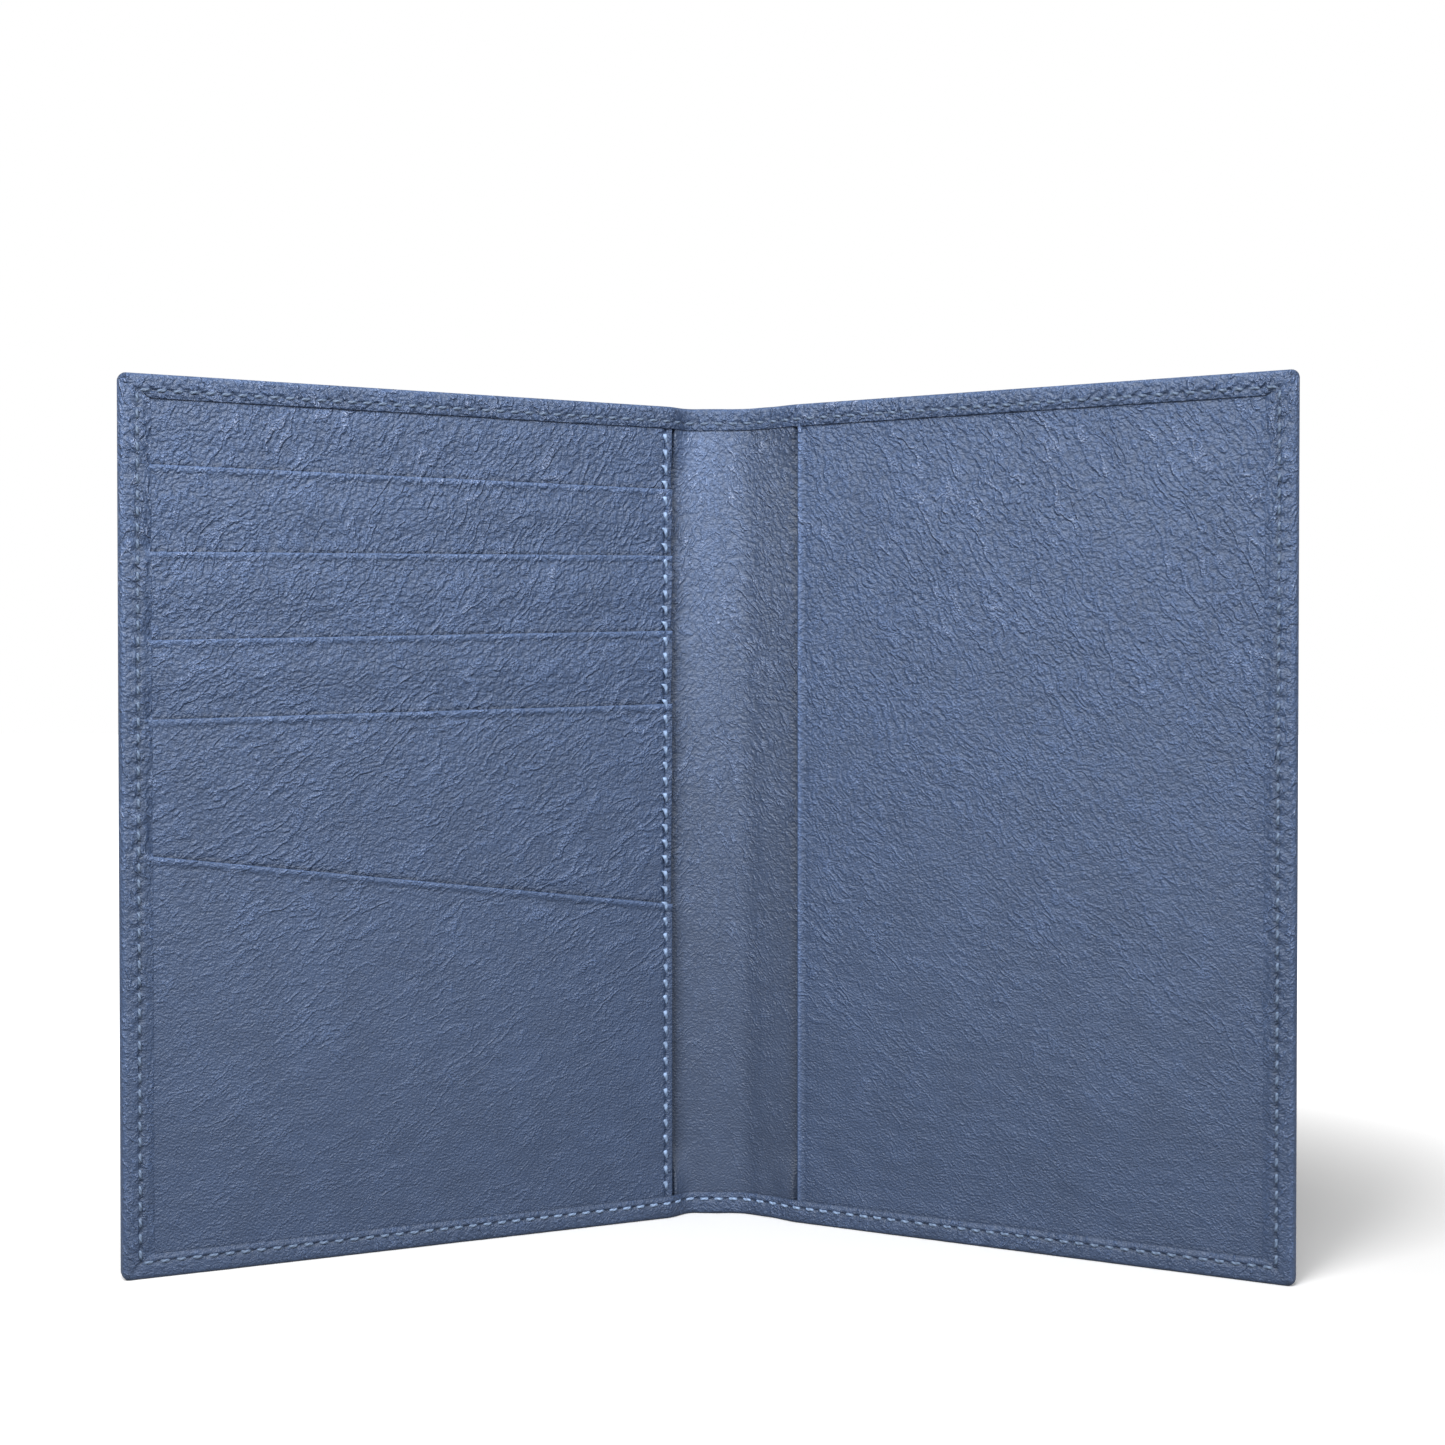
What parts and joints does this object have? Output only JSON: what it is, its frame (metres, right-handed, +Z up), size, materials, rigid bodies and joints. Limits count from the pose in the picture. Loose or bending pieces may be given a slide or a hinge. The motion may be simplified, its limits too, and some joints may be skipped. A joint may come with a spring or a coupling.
{
  "type": "passport holder",
  "caption": "Open bifold leather holder stood on its bottom edge: card slots and a slanted pocket on the left cover, a booklet sleeve on the right, two folding creases.",
  "frame": {"origin": "middle of the open holder's footprint, on the surface that it stands on", "axes": "+X from the card cover to the sleeve cover, +Y from the open front to the spine, +Z up along the spine"},
  "size_m": [0.1836, 0.045, 0.14],
  "materials": {
    "outer_leather": "dusty blue pebbled leather, satin, turned edges",
    "inner_leather": "dusty blue pebbled leather with fine wrinkles, satin",
    "suede_lining": "blue pebbled split leather, matte",
    "stiffener_board": "grey pressed board",
    "slot_cloth": "dark blue woven pocket cloth",
    "thread": "light blue twisted polyester sewing thread"
  },
  "bodies": {
    "spine": {"outer_leather_spine": "outer_leather", "lining_spine": "suede_lining", "needle_thread_spine_top": "thread", "bobbin_thread_spine_top": "thread", "needle_thread_spine_bottom": "thread", "bobbin_thread_spine_bottom": "thread"},
    "left_cover": {"outer_leather_left": "outer_leather", "stiffener_left": "stiffener_board", "lining_left": "suede_lining", "panel_backing": "inner_leather", "panel_header": "inner_leather", "slot_leaf_1": "inner_leather", "slot_leaf_2": "inner_leather", "slot_leaf_3": "inner_leather", "slot_leaf_4": "inner_leather", "slot_lining_1": "slot_cloth", "slot_lining_2": "slot_cloth", "slot_lining_3": "slot_cloth", "slot_lining_4": "slot_cloth", "slanted_pocket": "inner_leather", "needle_thread_left": "thread", "bobbin_thread_left": "thread", "panel_seam_thread": "thread"},
    "right_cover": {"outer_leather_right": "outer_leather", "stiffener_right": "stiffener_board", "lining_right": "suede_lining", "sleeve_flap": "inner_leather", "needle_thread_right": "thread", "bobbin_thread_right": "thread"}
  },
  "joints": [
    {"name": "left_cover_fold", "type": "hinge", "parent": "spine", "child": "left_cover", "pos_m": [-0.005, 0.01998, 0], "axis": [0, 0, 1], "range_deg": [-25.4, 64.6]},
    {"name": "right_cover_fold", "type": "hinge", "parent": "spine", "child": "right_cover", "pos_m": [0.005, 0.01998, 0], "axis": [0, 0, -1], "range_deg": [-25.4, 64.6]}
  ]
}
